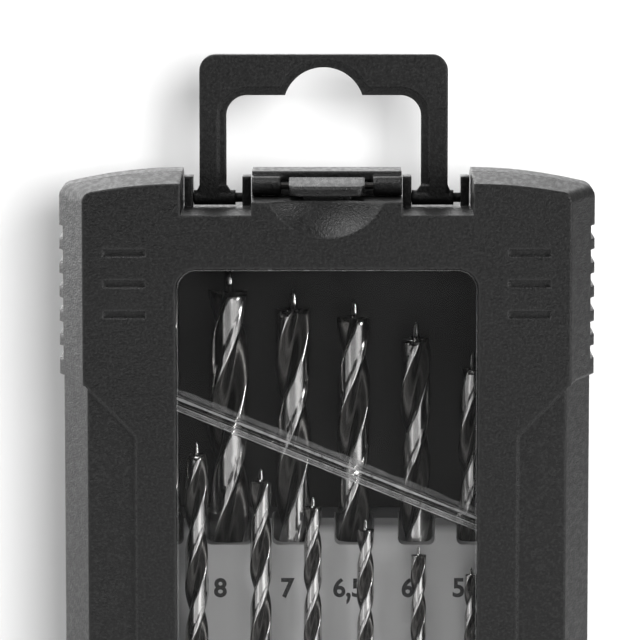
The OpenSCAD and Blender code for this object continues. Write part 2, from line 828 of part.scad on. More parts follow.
// A round shank, twisted flutes with a hollowed front that leaves two spurs, and the brad point
module drill_bit(spec, y) {
    d = spec[0];
    tip_z = spec[4] * rise;
    shank_z = (spec[4] - spec[1]) * rise;
    flute_z = (spec[4] - spec[2]) * rise;
    shoulder_z = tip_z - d * brad_h;
    turn = 360 * (shoulder_z - flute_z) * tan(helix_angle) / (PI * d);
    point_r = d * brad_w / 2;
    root_h = d * spur_h * root_reach;
    cutter_h = d * spur_h * cutter_reach;
    cutter_r = d * (0.5 - spur_w) * cutter_reach;
    color(steel) translate([spec[3] * rack_half_w, y, 0]) rotate(spec[5]) {
        translate([0, 0, shank_z]) cylinder(d = d, h = flute_z - shank_z, $fn = fine);
        difference() {
            translate([0, 0, flute_z])
                linear_extrude(shoulder_z - flute_z, twist = -turn, slices = ceil(turn / twist_step))
                    bit_section(d);
            translate([0, 0, shoulder_z - d * spur_h])
                cylinder(r1 = 0, r2 = cutter_r, h = cutter_h, $fn = small_fn);
        }
        translate([0, 0, shoulder_z - root_h]) cylinder(r = point_r, h = root_h, $fn = small_fn);
        translate([0, 0, shoulder_z])
            cylinder(r1 = point_r, r2 = point_r * tip_part, h = d * brad_h, $fn = small_fn);
    }
}

module bit_9() { drill_bit(REAR_BITS[0], rear_row); }
module bit_8() { drill_bit(REAR_BITS[1], rear_row); }
module bit_7() { drill_bit(REAR_BITS[2], rear_row); }
module bit_6_5() { drill_bit(REAR_BITS[3], rear_row); }
module bit_6() { drill_bit(REAR_BITS[4], rear_row); }
module bit_5_5() { drill_bit(REAR_BITS[5], rear_row); }
module bit_5() { drill_bit(REAR_BITS[6], rear_row); }
module bit_4_8() { drill_bit(FRONT_BITS[0], -front_row); }
module bit_4_5() { drill_bit(FRONT_BITS[1], -front_row); }
module bit_4_2() { drill_bit(FRONT_BITS[2], -front_row); }
module bit_3_5() { drill_bit(FRONT_BITS[3], -front_row); }
module bit_3_3() { drill_bit(FRONT_BITS[4], -front_row); }
module bit_3() { drill_bit(FRONT_BITS[5], -front_row); }
module bit_2_5() { drill_bit(FRONT_BITS[6], -front_row); }
module bit_2() { drill_bit(FRONT_BITS[7], -front_row); }

rear_shell();
lid_frame();
window_pane();
hinge_pin_left();
hinge_pin_right();
latch();
latch_pin();
hanger();
rack();
bit_9();
bit_8();
bit_7();
bit_6_5();
bit_6();
bit_5_5();
bit_5();
bit_4_8();
bit_4_5();
bit_4_2();
bit_3_5();
bit_3_3();
bit_3();
bit_2_5();
bit_2();
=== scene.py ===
# %% [markdown]
# # A drill bit case, dressed for its picture
# The case is a black moulded box with a clear window, a latch, a folding hanger and a grey rack of
# brad point bits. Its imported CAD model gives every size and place. This file adds what a solid
# model lacks: softened edges, ground and blackened steel, a clear sheet, printed sizes and light.

# %% The frame
import math

import bmesh
import bpy
import numpy as np
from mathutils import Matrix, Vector


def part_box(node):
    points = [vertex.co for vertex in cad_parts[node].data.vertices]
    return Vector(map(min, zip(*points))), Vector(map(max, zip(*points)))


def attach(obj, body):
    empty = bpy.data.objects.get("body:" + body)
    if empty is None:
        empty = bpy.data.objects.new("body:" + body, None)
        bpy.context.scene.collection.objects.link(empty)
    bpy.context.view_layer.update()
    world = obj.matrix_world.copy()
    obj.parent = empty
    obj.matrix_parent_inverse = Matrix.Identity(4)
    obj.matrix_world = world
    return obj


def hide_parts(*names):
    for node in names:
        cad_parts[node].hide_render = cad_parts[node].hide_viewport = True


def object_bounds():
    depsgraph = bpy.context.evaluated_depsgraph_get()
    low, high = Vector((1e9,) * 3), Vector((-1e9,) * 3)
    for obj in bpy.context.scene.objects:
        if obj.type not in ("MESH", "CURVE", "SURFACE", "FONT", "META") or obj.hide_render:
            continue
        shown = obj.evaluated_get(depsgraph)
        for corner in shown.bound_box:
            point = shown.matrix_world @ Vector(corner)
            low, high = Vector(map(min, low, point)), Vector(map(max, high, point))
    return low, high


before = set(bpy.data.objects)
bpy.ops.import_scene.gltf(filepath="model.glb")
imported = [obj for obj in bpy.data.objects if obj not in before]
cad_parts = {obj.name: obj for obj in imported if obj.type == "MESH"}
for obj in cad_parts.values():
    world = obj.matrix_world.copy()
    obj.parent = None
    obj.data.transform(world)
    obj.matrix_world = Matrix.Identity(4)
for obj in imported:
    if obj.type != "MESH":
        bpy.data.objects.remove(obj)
cad_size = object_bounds()
scene = bpy.context.scene
scene.view_settings.view_transform = "Standard"

MM = 0.001
corners_in_mm = [tuple(round(v / MM, 1) for v in corner) for corner in cad_size]
print("nodes:", len(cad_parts), "box in mm:", corners_in_mm)

# %% [markdown]
# # The camera
# A picture taken from far away shows a box with hardly any perspective, so a long lens stands far
# off. Three facts fix it: how many pixels a metre of the front face takes, how steeply the camera
# looks down, and which point of the face is in the middle of the picture.

# %% The camera
# Pixels across the picture, and pixels for a metre of the front face
PICTURE = 640
FACE_SCALE = 5450
LOOK_DOWN = math.radians(7)
DISTANCE = 0.8
# The column of the picture that the case's middle is in, and the height that the camera aims at
MIDDLE_COLUMN = 327
AIM_HEIGHT = 118.85 * MM
# Width of the camera's sensor in mm
SENSOR = 36

face_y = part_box("lid_frame")[0].y
eye = bpy.data.cameras.new("eye")
eye.sensor_width = SENSOR
eye.lens = SENSOR * FACE_SCALE * DISTANCE / PICTURE
camera = bpy.data.objects.new("camera", eye)
camera.location = (
    (PICTURE / 2 - MIDDLE_COLUMN) / FACE_SCALE,
    face_y - DISTANCE * math.cos(LOOK_DOWN),
    AIM_HEIGHT + DISTANCE * math.sin(LOOK_DOWN),
)
camera.rotation_euler = (math.pi / 2 - LOOK_DOWN, 0, 0)
scene.collection.objects.link(camera)
scene.camera = camera
print("lens:", round(eye.lens, 2), "mm, standing at", [round(v, 4) for v in camera.location])

# %% [markdown]
# # Plain arithmetic for shaders
# A finish is a small web of nodes, and wiring each by hand hides what it works out. One class wraps
# an output, so that `1 - grain * 0.2` adds the Math nodes by itself.

# %% Sums of outputs
class Wire:
    """An output of a node that can be used in sums."""

    def __init__(self, finish, socket):
        self.finish = finish
        self.socket = socket

    def sum(self, operation, a, b):
        return self.finish.add("Math", {"operation": operation}, {0: a, 1: b})

    def __add__(self, other):
        return self.sum("ADD", self, other)

    def __mul__(self, other):
        return self.sum("MULTIPLY", self, other)

    def __sub__(self, other):
        return self.sum("SUBTRACT", self, other)

    def __rsub__(self, other):
        return self.sum("SUBTRACT", other, self)

    __radd__ = __add__
    __rmul__ = __mul__


print("a wire takes + - and *, with a number on either side")

# %% [markdown]
# # A finish under construction
# One method adds any node: its settings go first, because they decide which sockets it has, and
# then each socket gets a value or a link. The others are short names for what most finishes use: a
# ramp, a blend of two colours, soft noise and a bump.

# %% Finishes
class Finish:
    """A node tree under construction, with its shader at the end."""

    def __init__(self, owner, shader=None):
        owner.use_nodes = True
        self.owner = owner
        self.tree = owner.node_tree
        self.shader = self.tree.nodes[shader] if shader else None

    def add(self, kind, settings=None, values=None, output=0):
        node = self.tree.nodes.new("ShaderNode" + kind)
        for name, value in (settings or {}).items():
            if name == "stops":
                ramp = node.color_ramp.elements
                while len(ramp) < len(value):
                    ramp.new(1)
                for stop, (place, tone) in zip(ramp, value):
                    stop.position = place
                    stop.color = (tone, tone, tone, 1)
            else:
                setattr(node, name, value)
        for name, value in (values or {}).items():
            self.feed(node.inputs[name], value)
        return Wire(self, node.outputs[output])

    def feed(self, socket, value):
        if isinstance(value, Wire):
            self.tree.links.new(value.socket, socket)
        else:
            socket.default_value = value

    def set(self, **values):
        """Feed sockets of the shader, with an underscore for each space in a socket's name."""
        for name, value in values.items():
            self.feed(self.shader.inputs[name.replace("_", " ")], value)

    def end_with(self, shader):
        """Another shader than the usual one makes the surface."""
        self.feed(self.tree.nodes["Material Output"].inputs["Surface"], shader)

    def ramp(self, stops, share):
        """Grey tones by a number from 0 to 1. Each stop is a place and the tone there."""
        return self.add("ValToRGB", {"stops": stops}, {0: share})

    def blend(self, low, high, share):
        """A colour between two others."""
        return self.add("Mix", {"data_type": "RGBA"}, {0: share, 6: low, 7: high}, 2)

    def grain(self, size, detail=2.0, stretch=(1, 1, 1)):
        """Soft noise with lumps of about one size, fixed to the object."""
        place = self.add("TexCoord", output=3)
        spread = self.add("Mapping", {}, {0: place, 3: tuple(s / size for s in stretch)})
        return self.add("TexNoise", {}, {"Vector": spread, "Scale": 1.0, "Detail": detail})

    def bump(self, height, depth, under=None):
        """Small hills. They may lie over a normal that is already rounded."""
        values = {"Height": height, "Distance": depth}
        if under:
            values["Normal"] = under
        return self.add("Bump", {}, values)


def plain(name):
    return Finish(bpy.data.materials.new(name), "Principled BSDF")


def grey(value, warmth=0.0):
    return (value * (1 + warmth), value, value * (1 - warmth), 1)


print("half grey:", grey(0.5), "and a little warmer:", grey(0.5, 0.04))

# %% [markdown]
# # Black moulded plastic
# The mould was spark eroded, so the plastic has a fine grain of small pits and no mirror gloss.
# They are a bump, because pits hardly show square on and sparkle at a slant, and they are drawn out
# from front to back, the way the mould opens. A mottle and some dust in the colour keep the large
# faces from being too even.
#
# Edges that hands and tables touch are worn rounder and smoother, and a painted highlight makes them
# paler. A Bevel node finds them: it gives the normal of a rounded edge, and where that turns away
# from the face's own normal, an edge is near. The inside of the case is the same plastic with
# hardly any pits, because only the outside of the mould was eroded. Its darker tone is painted
# shade, because this stage's light reaches it more easily than it should.

# %% Black plastic
BLACK_TONE = 0.0068
# The inside's tone is a painted shade, darker than the outside's
INNER_SHADE_TONE = 0.003
# Painted highlight: the paler tone along the edges
EDGE_HIGHLIGHT_TONE = 0.030
# Times the tone, where the mottle is darkest, where it is palest, and under dust
DARKEST, PALEST, DUSTY = 0.3, 1.6, 3.2
PIT, PIT_DEPTH, INNER_PIT_DEPTH = 0.34 * MM, 0.11 * MM, 0.01 * MM
DUST, MOTTLE, CLOUD = 0.5 * MM, 0.9 * MM, 22 * MM
CLOUD_SHARE, MOTTLE_SHARE = 0.4, 0.6
# Noise that changes slowly from front to back
DRAWN_OUT = (1, 0.3, 1)
DUST_STOPS = [(0.48, 0.0), (0.66, 1.0)]
MOTTLE_STOPS = [(0.36, 0.0), (0.62, 1.0)]
# By how well the rounded normal agrees with the face's own
EDGE_NEAR_STOPS = [(0.82, 1.0), (0.99, 0.0)]
ROUGH_SPREAD, RUBBED_POLISH = 0.2, 0.1
PLASTIC_IOR = 1.5


def moulded_black(name, edge_radius=0.8 * MM, rough=0.38, pit_depth=PIT_DEPTH, tone=BLACK_TONE):
    finish = plain(name)
    pits = finish.grain(PIT, 3.0, DRAWN_OUT)
    dust = finish.ramp(DUST_STOPS, finish.grain(DUST))
    mottle = finish.ramp(MOTTLE_STOPS, finish.grain(MOTTLE, 2.0, DRAWN_OUT))
    cloud = finish.grain(CLOUD) * CLOUD_SHARE + mottle * MOTTLE_SHARE
    rounded = finish.add("Bevel", {"samples": 6}, {"Radius": edge_radius})
    own = finish.add("NewGeometry", output="Normal")
    agree = finish.add("VectorMath", {"operation": "DOT_PRODUCT"}, {0: rounded, 1: own}, "Value")
    # Where an edge is near: a painted highlight in the colour, and less roughness
    highlight_and_polish = finish.ramp(EDGE_NEAR_STOPS, agree)
    clean = finish.blend(grey(tone * DARKEST), grey(tone * PALEST), cloud)
    dusty = finish.blend(clean, grey(tone * DUSTY), dust)
    finish.set(
        Base_Color=finish.blend(dusty, grey(EDGE_HIGHLIGHT_TONE), highlight_and_polish),
        Roughness=rough - ROUGH_SPREAD / 2 + cloud * ROUGH_SPREAD - highlight_and_polish * RUBBED_POLISH,
        Normal=finish.bump(pits, pit_depth, rounded),
        IOR=PLASTIC_IOR,
    )
    return finish.owner


black_plastic = moulded_black("black_plastic")
inner_plastic = moulded_black("inner_plastic", rough=0.5, pit_depth=INNER_PIT_DEPTH, tone=INNER_SHADE_TONE)
hanger_plastic = moulded_black("hanger_plastic", edge_radius=0.7 * MM)
latch_plastic = moulded_black("latch_plastic", edge_radius=0.6 * MM, rough=0.32)
print("black finishes:", [m.name for m in (black_plastic, inner_plastic, hanger_plastic, latch_plastic)])

# %% [markdown]
# # Grey rack plastic
# The rack is a light grey with a smooth, satin skin. The tops of its columns lie in shade in the
# closed case. The lamps here would light them like the rest, so a painted shade darkens the colour
# to a dark grey over the top few millimetres. It stays so when the case is open.

# %% Grey plastic
RACK_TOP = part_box("rack")[1].z
TOP_SHADE_DEPTH = 6 * MM
# From the start of the painted shade up to the rack's top
TOP_SHADE_STOPS = [(0.1, 0.0), (0.5, 0.2), (0.8, 1.0)]
GREY_LOW, GREY_HIGH, SHADED_TOP_GREY = 0.69, 0.75, 0.13


def satin_grey():
    finish = plain("grey_plastic")
    cloud = finish.grain(14 * MM)
    height = finish.add("SeparateXYZ", {}, {0: finish.add("TexCoord", output=3)}, 2)
    up_the_columns = (height - (RACK_TOP - TOP_SHADE_DEPTH)) * (1 / TOP_SHADE_DEPTH)
    painted_shade = finish.ramp(TOP_SHADE_STOPS, up_the_columns)
    even = finish.blend(grey(GREY_LOW), grey(GREY_HIGH), cloud)
    finish.set(
        # Painted shade at the tops of the columns
        Base_Color=finish.blend(even, grey(SHADED_TOP_GREY), painted_shade),
        Roughness=0.38 + cloud * 0.08,
        Normal=finish.bump(finish.grain(0.3 * MM), 0.006 * MM),
        IOR=PLASTIC_IOR,
    )
    return finish.owner


grey_plastic = satin_grey()
print("grey finish:", grey_plastic.name, "fading under", round(RACK_TOP / MM, 1), "mm")

# %% [markdown]
# # Ground and blackened steel
# A brad point bit is blackened all over and then ground on its round lands. The lands stay bright,
# with fine marks across them from the wheel, and the flutes stay black. Two finishes on one mesh
# show this better than any mask, because the border is a true edge of the form.
#
# In a studio such steel mirrors strip lights and dark cards as bands along the bit. This stage has
# few lamps, so painted reflections, bands in the colour, stand in for them. They follow how far the
# surface turns to one side, and wander a little, because no ground surface is quite even.

# %% Painted reflections along the steel
# From the bit's left side to its right: a place, and how pale the band is there
LAND_REFLECTIONS = [
    (0.05, 0.30), (0.20, 0.10), (0.32, 0.30), (0.37, 1.0), (0.42, 0.35), (0.55, 0.22),
    (0.62, 1.0), (0.68, 1.0), (0.73, 0.30), (0.86, 0.12), (0.96, 0.6),
]
FLUTE_REFLECTIONS = [(0.24, 0.0), (0.36, 0.8), (0.44, 0.25), (0.60, 0.05), (0.70, 0.55), (0.80, 0.0)]
WANDER, WANDER_SIZE = 0.10, 2.5 * MM


def painted_reflections(finish, stops):
    """Painted reflections: light and dark bands along a round piece, by how far its surface turns to one
    side.
    """
    sideways = finish.add("SeparateXYZ", {}, {0: finish.add("NewGeometry", output="Normal")}, 0)
    wander = finish.grain(WANDER_SIZE)
    return finish.ramp(stops, sideways * 0.5 + wander * WANDER + (0.5 - WANDER / 2))


print("bands on the lands:", len(LAND_REFLECTIONS), "stops, in the flutes:", len(FLUTE_REFLECTIONS))

# %% Steel
# Times the tone, in the dark and the light painted reflections
DARK_REFLECTION, LIGHT_REFLECTION = 0.42, 1.28
# Marks run round the bit, so their noise changes slowly across it and fast along it
WHEEL_MARKS = (0.15, 0.15, 1)
# The black of the flutes, and the paler tone of their painted reflections
BLACKENED_LOW, BLACKENED_HIGH = 0.028, 0.19
STEEL_WARMTH, BLACKENED_WARMTH = 0.01, 0.04


def ground_steel(name, tone, rough, mark_size, mark_depth):
    finish = plain(name)
    marks = finish.grain(mark_size, 2.0, WHEEL_MARKS)
    dark = grey(tone * DARK_REFLECTION, STEEL_WARMTH)
    light = grey(tone * LIGHT_REFLECTION, STEEL_WARMTH)
    finish.set(
        Base_Color=finish.blend(dark, light, painted_reflections(finish, LAND_REFLECTIONS)),
        Roughness=rough + marks * 0.1,
        Normal=finish.bump(marks, mark_depth),
        Metallic=1.0,
    )
    return finish.owner


def blackened_steel():
    finish = plain("blackened_steel")
    cloud = finish.grain(1.2 * MM, 3.0)
    speck = finish.grain(0.28 * MM)
    dark = grey(BLACKENED_LOW, BLACKENED_WARMTH)
    light = grey(BLACKENED_HIGH, BLACKENED_WARMTH)
    finish.set(
        Base_Color=finish.blend(dark, light, painted_reflections(finish, FLUTE_REFLECTIONS) * (0.35 + speck * 0.9)),
        Roughness=0.28 + cloud * 0.14,
        Normal=finish.bump(cloud, 0.01 * MM),
        Metallic=0.85,
    )
    return finish.owner


bright_steel = ground_steel(
    "bright_steel", tone=0.74, rough=0.11, mark_size=0.12 * MM, mark_depth=0.002 * MM
)
drawn_steel = ground_steel(
    "drawn_steel", tone=0.50, rough=0.26, mark_size=0.08 * MM, mark_depth=0.003 * MM
)
black_steel = blackened_steel()
print("steels:", [m.name for m in (bright_steel, drawn_steel, black_steel)])

# %% [markdown]
# # Clear sheet
# A clear sheet shows itself only by what it mirrors, which grows towards a grazing view. A Mix
# Shader between a transparent and a glossy shader, driven by Fresnel, gives that without bending
# the light, so that the bits behind it stay sharp. The walls of the sheet's rib are a little hazier.

# %% Clear plastic
def clear_plastic(name, tint, shine, haze=0.0):
    finish = Finish(bpy.data.materials.new(name))
    finish.tree.nodes.remove(finish.tree.nodes["Principled BSDF"])
    mirror = finish.add("Fresnel", {}, {"IOR": 1.45})
    through = finish.add("BsdfTransparent", {}, {"Color": grey(tint)})
    gloss = finish.add("BsdfGlossy", {}, {"Color": grey(0.9), "Roughness": 0.04})
    finish.end_with(finish.add("MixShader", {}, {0: mirror * shine + haze, 1: through, 2: gloss}))
    return finish.owner


clear_sheet = clear_plastic("clear_plastic", tint=0.97, shine=0.3)
clear_rib = clear_plastic("clear_rib", tint=0.90, shine=0.5, haze=0.03)
print("clear finishes:", clear_sheet.name, clear_rib.name)

# %% [markdown]
# # Light that leaves a clear edge
# Light runs inside a clear sheet and comes out where its edges are rounded. To trace that would take
# many samples, so a pale finish that is partly see-through stands in for it on slim beads. Noise in
# its alpha breaks each line up into brighter and fainter stretches.

# %% Gleams
def edge_gleam(name, least, spread):
    finish = plain(name)
    streak = finish.grain(1.6 * MM)
    finish.set(Base_Color=grey(0.9), Roughness=0.25 + streak * 0.1, Alpha=least + streak * spread)
    return finish.owner


gleams = [
    edge_gleam("bright_gleam", least=0.0, spread=0.70),
    edge_gleam("faint_gleam", least=0.02, spread=0.26),
    edge_gleam("line_gleam", least=0.0, spread=0.42),
]
print("gleams:", [m.name for m in gleams])

# %% [markdown]
# # Printing ink
# The sizes are pad printed, in a thin black film with an uneven gloss.

# %% Ink
def printing_ink():
    finish = plain("printing_ink")
    cloud = finish.grain(0.6 * MM)
    finish.set(Base_Color=grey(0.012), Roughness=0.34 + cloud * 0.12)
    return finish.owner


ink = printing_ink()
print("ink:", ink.name)

# %% [markdown]
# # Softened mouldings
# No moulded edge is sharp. Each plastic node is copied, its flat faces are joined again, and a
# bevel rounds every edge that turns by more than 28 degrees. Weighted normals then keep the large
# faces flat in the light, so that only the rounded edges catch it.

# %% Softening a node
WELD = 0.002 * MM
FLAT = math.radians(0.5)
SHARP = math.radians(28)
SOFT_EDGE = 0.25 * MM


def softened(node, name, body, finish, width, steps=2, reshape=None):
    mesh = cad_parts[node].data.copy()
    mesh.name = name
    form = bmesh.new()
    form.from_mesh(mesh)
    bmesh.ops.remove_doubles(form, verts=form.verts, dist=WELD)
    if reshape:
        for vert in form.verts:
            vert.co = reshape(vert.co)
    bmesh.ops.dissolve_limit(form, angle_limit=FLAT, verts=form.verts, edges=form.edges)
    for face in form.faces:
        face.smooth = True
        face.material_index = 0
    form.to_mesh(mesh)
    form.free()
    mesh.materials.clear()
    mesh.materials.append(finish)
    piece = bpy.data.objects.new(name, mesh)
    scene.collection.objects.link(piece)
    bevel = piece.modifiers.new("soft_edges", "BEVEL")
    bevel.width = width
    bevel.segments = steps
    bevel.angle_limit = SHARP
    bevel.use_clamp_overlap = True
    bevel.miter_outer = "MITER_ARC"
    weigh = piece.modifiers.new("flat_faces", "WEIGHTED_NORMAL")
    weigh.keep_sharp = True
    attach(piece, body)
    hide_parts(node)
    print(name, "from", node, len(mesh.polygons), "faces")
    return piece


for node, name, body, finish in (
    ("rear_shell", "rear_moulding", "rear_shell", black_plastic),
    ("lid_frame", "lid_moulding", "lid", black_plastic),
    ("latch", "latch_moulding", "latch", latch_plastic),
):
    softened(node, name, body, finish, SOFT_EDGE)

# %% [markdown]
# # Hanger and rack
# The hanger's legs stay straight almost down to their feet, and widen lower than in the solid. So
# the row of points where they start to widen comes down before the edges are rounded. The rack is
# softened as it is, with slightly sharper edges.

# %% Hanger and rack
HANGER_AXIS_Z = 139.6 * MM
# Heights over the hanger's axis where a leg starts to widen, in the solid and here
FLARE_TOP = 4.4 * MM
LOW_FLARE = 2.4 * MM
# How near to that height a point has to be
FLARE_ROW = 0.04 * MM
RACK_EDGE = 0.2 * MM


def short_flare(point):
    in_the_row = abs(point.z - HANGER_AXIS_Z - FLARE_TOP) < FLARE_ROW
    return point - Vector((0, 0, FLARE_TOP - LOW_FLARE)) if in_the_row else point


softened(
    "hanger", "hanger_moulding", "hanger", hanger_plastic, SOFT_EDGE,
    reshape=short_flare,
)
softened("rack", "rack_moulding", "rack", grey_plastic, RACK_EDGE)

# %% [markdown]
# # The inside of the case
# The inside faces of the rear half get the inner plastic. A box just within its walls tells them
# from the outside ones by their middles.

# %% Inside faces
INSIDE_LOW = Vector((-46.6, -12, 1)) * MM
INSIDE_HIGH = Vector((46.6, 14.5, 137)) * MM

rear_mesh = bpy.data.objects["rear_moulding"].data
rear_mesh.materials.append(inner_plastic)
for face in rear_mesh.polygons:
    inside = all(low < at < high for low, at, high in zip(INSIDE_LOW, face.center, INSIDE_HIGH))
    face.material_index = int(inside)
print("inside faces:", sum(face.material_index for face in rear_mesh.polygons))

# %% [markdown]
# # The rib in the window
# A slanting rib of two thin walls stiffens the sheet from behind. The walls are as clear as the
# sheet, and show mostly by the bright lines at their roots and edges. The lower wall stands closer
# to the upper one than in the solid, so its points move up, square to the rib, before the softening.

# %% Clear sheet with its rib
PANE_BACK = -11.6 * MM
RIB_ANGLE = math.radians(22)
RIB_MIDDLE = 92 * MM
RIB_HALF_LENGTH = 29.1 * MM
LOW_WALL = -3.4 * MM
WALL_REACH = 0.5 * MM
WALLS_CLOSER = 1.9 * MM
INSIDE_WINDOW = 30 * MM
TOUCHING = 0.01 * MM
WALL_ROOT = 0.2 * MM
SQUARE_TO_RIB = Vector((math.sin(RIB_ANGLE), 0, math.cos(RIB_ANGLE)))


def closer_walls(point):
    lift = (point - Vector((0, 0, RIB_MIDDLE))).dot(SQUARE_TO_RIB)
    on_wall = abs(lift - LOW_WALL) < WALL_REACH and point.y > PANE_BACK - TOUCHING
    return point + SQUARE_TO_RIB * WALLS_CLOSER if on_wall and abs(point.x) < INSIDE_WINDOW else point


pane = softened(
    "window_pane", "pane_moulding", "lid", clear_sheet, 0.1 * MM, 1, closer_walls
)
pane.data.materials.append(clear_rib)
for face in pane.data.polygons:
    face.material_index = int(face.center.y > PANE_BACK + WALL_ROOT)
print("faces of the rib's walls:", sum(face.material_index for face in pane.data.polygons))

# %% [markdown]
# # Bright lines along the rib
# A slim half-round bead, painted pale as a highlight, lies along each line where light leaves the
# rib. It swells and thins on its way, by two sines that fall out of step, because a perfectly even
# line looks drawn.

# %% Beads along the rib
BRIGHT, FAINT, LINE = 0, 1, 2
# Each bead in mm: height over the rib's middle line, distance behind the sheet, half width; finish
BEADS = [
    (0.52, 0.1, 0.24, BRIGHT), (-0.68, 0.1, 0.09, BRIGHT), (-1.05, 0.1, 0.42, FAINT),
    (-1.58, 0.1, 0.10, BRIGHT), (0.95, 6.5, 0.50, FAINT), (0.10, 6.5, 0.10, BRIGHT),
]
BEAD_SIDES = 6
BEAD_STEPS = 40
MOST_RISE = 0.25
SWELL, SLOW_WAVE, FAST_WAVE = 0.3, 9, 23
# Past this share of its half length, a bead has only this share of its width
BEAD_END, END_SIZE = 0.98, 0.3


def bead(form, lift, depth, half_width, finish, seed):
    """One half-round bead along the rib, closed at both ends."""
    ring_before = None
    for i in range(BEAD_STEPS + 1):
        share = 2 * i / BEAD_STEPS - 1
        across = share * RIB_HALF_LENGTH
        waves = math.sin(SLOW_WAVE * share + seed) * math.sin(FAST_WAVE * share + 2 * seed)
        swell = 1 + SWELL * waves
        if abs(share) > BEAD_END:
            swell = END_SIZE
        middle_z = RIB_MIDDLE - across * math.tan(RIB_ANGLE) + lift * MM / math.cos(RIB_ANGLE)
        ring = []
        for k in range(BEAD_SIDES):
            turn = math.pi * k / (BEAD_SIDES - 1)
            up = half_width * MM * swell * math.cos(turn)
            out = min(half_width, MOST_RISE) * MM * swell * math.sin(turn)
            ring.append(form.verts.new((across, PANE_BACK + depth * MM + out, middle_z + up)))
        if ring_before:
            for k in range(BEAD_SIDES):
                j = (k + 1) % BEAD_SIDES
                face = form.faces.new((ring_before[k], ring_before[j], ring[j], ring[k]))
                face.smooth = k < BEAD_SIDES - 1
                face.material_index = finish
        else:
            form.faces.new(ring).material_index = finish
        ring_before = ring
    form.faces.new(reversed(ring_before)).material_index = finish


print("beads:", len(BEADS), "with", BEAD_STEPS, "steps each")

# %% [markdown]
# # The light line round the window
# The sheet's front shows a light line round the opening, just inside the frame's edge, painted as a
# highlight in a gleam finish. It is a thin ridge: one path round a rectangle with rounded corners,
# and three points across it at each step.

# %% Window line and all beads
WINDOW_HALF = 27.62 * MM
WINDOW_LOW, WINDOW_TOP = 22.2 * MM, 127.72 * MM
WINDOW_ROUND = 3.6 * MM
SHEET_FRONT = -12.9 * MM
LINE_HALF, LINE_RISE = 0.10 * MM, 0.08 * MM
CORNER_STEPS = 8


def window_line(form):
    path = []
    for corner, (side, up) in enumerate(((1, 1), (-1, 1), (-1, -1), (1, -1))):
        middle_x = side * (WINDOW_HALF - WINDOW_ROUND)
        middle_z = WINDOW_TOP - WINDOW_ROUND if up > 0 else WINDOW_LOW + WINDOW_ROUND
        for i in range(CORNER_STEPS + 1):
            turn = math.pi / 2 * (corner + i / CORNER_STEPS)
            path.append((middle_x, middle_z, math.cos(turn), math.sin(turn)))
    rings = []
    for middle_x, middle_z, out_x, out_z in path:
        ring = []
        for reach, rise in ((-LINE_HALF, 0), (0, LINE_RISE), (LINE_HALF, 0)):
            r = WINDOW_ROUND + reach
            ring.append(form.verts.new((middle_x + out_x * r, SHEET_FRONT - rise, middle_z + out_z * r)))
        rings.append(ring)
    for here, there in zip(rings, rings[1:] + rings[:1]):
        for k in range(2):
            face = form.faces.new((here[k], here[k + 1], there[k + 1], there[k]))
            face.smooth = True
            face.material_index = LINE


form = bmesh.new()
window_line(form)
for seed, (lift, depth, half_width, finish) in enumerate(BEADS):
    bead(form, lift, depth, half_width, finish, seed)
bead_mesh = bpy.data.meshes.new("rib_beads")
form.to_mesh(bead_mesh)
form.free()
for gleam in gleams:
    bead_mesh.materials.append(gleam)
beads = bpy.data.objects.new("rib_beads", bead_mesh)
scene.collection.objects.link(beads)
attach(beads, "lid")
print("faces of the beads and the window's line:", len(bead_mesh.polygons))

# %% [markdown]
# # Pins
# The hinge turns on two pins of drawn wire, and the latch on a blackened one. Their solids are
# right as they are, so they only get their finish.

# %% Pins
PINS = {"hinge_pin_left": drawn_steel, "hinge_pin_right": drawn_steel, "latch_pin": black_steel}
for pin, finish in PINS.items():
    for mesh_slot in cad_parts[pin].material_slots:
        mesh_slot.material = finish
print("pins:", ", ".join(PINS))

# %% [markdown]
# # The bits
# A brad point bit is a round shank with two flutes wound up it. At the top the flutes end in a
# flat shoulder, hollowed towards the middle, which leaves two spurs at the rim, and the long brad
# point stands in the hollow. One skin of rings makes all of it: the rings climb the shank, turn
# with the flutes, draw in across the hollow and climb the point.
#
# First comes one ring seen from above. Each land has a narrow raised margin on its leading side,
# which is the part that rubs against the hole, and drops away at its heel.

# %% One ring of a bit
# Reaches are parts of the bit's radius, and angles are in degrees
WEB = 0.36
LAND_REACH = 0.98
HALF_LAND = 41
LAND_ANGLES = [-41, -36, -28, -20, -12, -4, 4, 11, 17, 21, 27, 34, 41]
MARGIN = 22
MARGIN_DROP = 0.022
HEEL_DROP = 0.04
FLUTE_POINTS = 9
FLUTE_SHAPE = 1.3


def section():
    """Angles round a bit, with the reach at each, and whether it is land."""
    points = []
    flute_span = 180 - 2 * HALF_LAND
    for half in (0, 180):
        for angle in LAND_ANGLES:
            drop = 0 if angle > HALF_LAND - MARGIN else MARGIN_DROP
            if angle == -HALF_LAND:
                drop += HEEL_DROP
            points.append((angle + half, LAND_REACH - drop, True))
        for i in range(1, FLUTE_POINTS + 1):
            share = i / (FLUTE_POINTS + 1)
            depth = math.sin(math.pi * share) ** FLUTE_SHAPE
            edge = LAND_REACH - (MARGIN_DROP + HEEL_DROP) * share
            points.append((HALF_LAND + flute_span * share + half, edge - (edge - WEB) * depth, False))
    return points


SECTION = section()
print("points round a bit:", len(SECTION))

# %% [markdown]
# # The rings of a bit
# A helix of 25 degrees gives the height of one full turn, and a ring stands at about every ten
# degrees of it. The first few rings of the flutes deepen slowly, as the grinding wheel ran out
# there. The last ones draw in across the hollow without turning, and then follow the profile of the
# brad point.

# %% Rings up a bit
HELIX = math.tan(math.radians(25))
RING_TURN = 10
RUN_OUT = 4
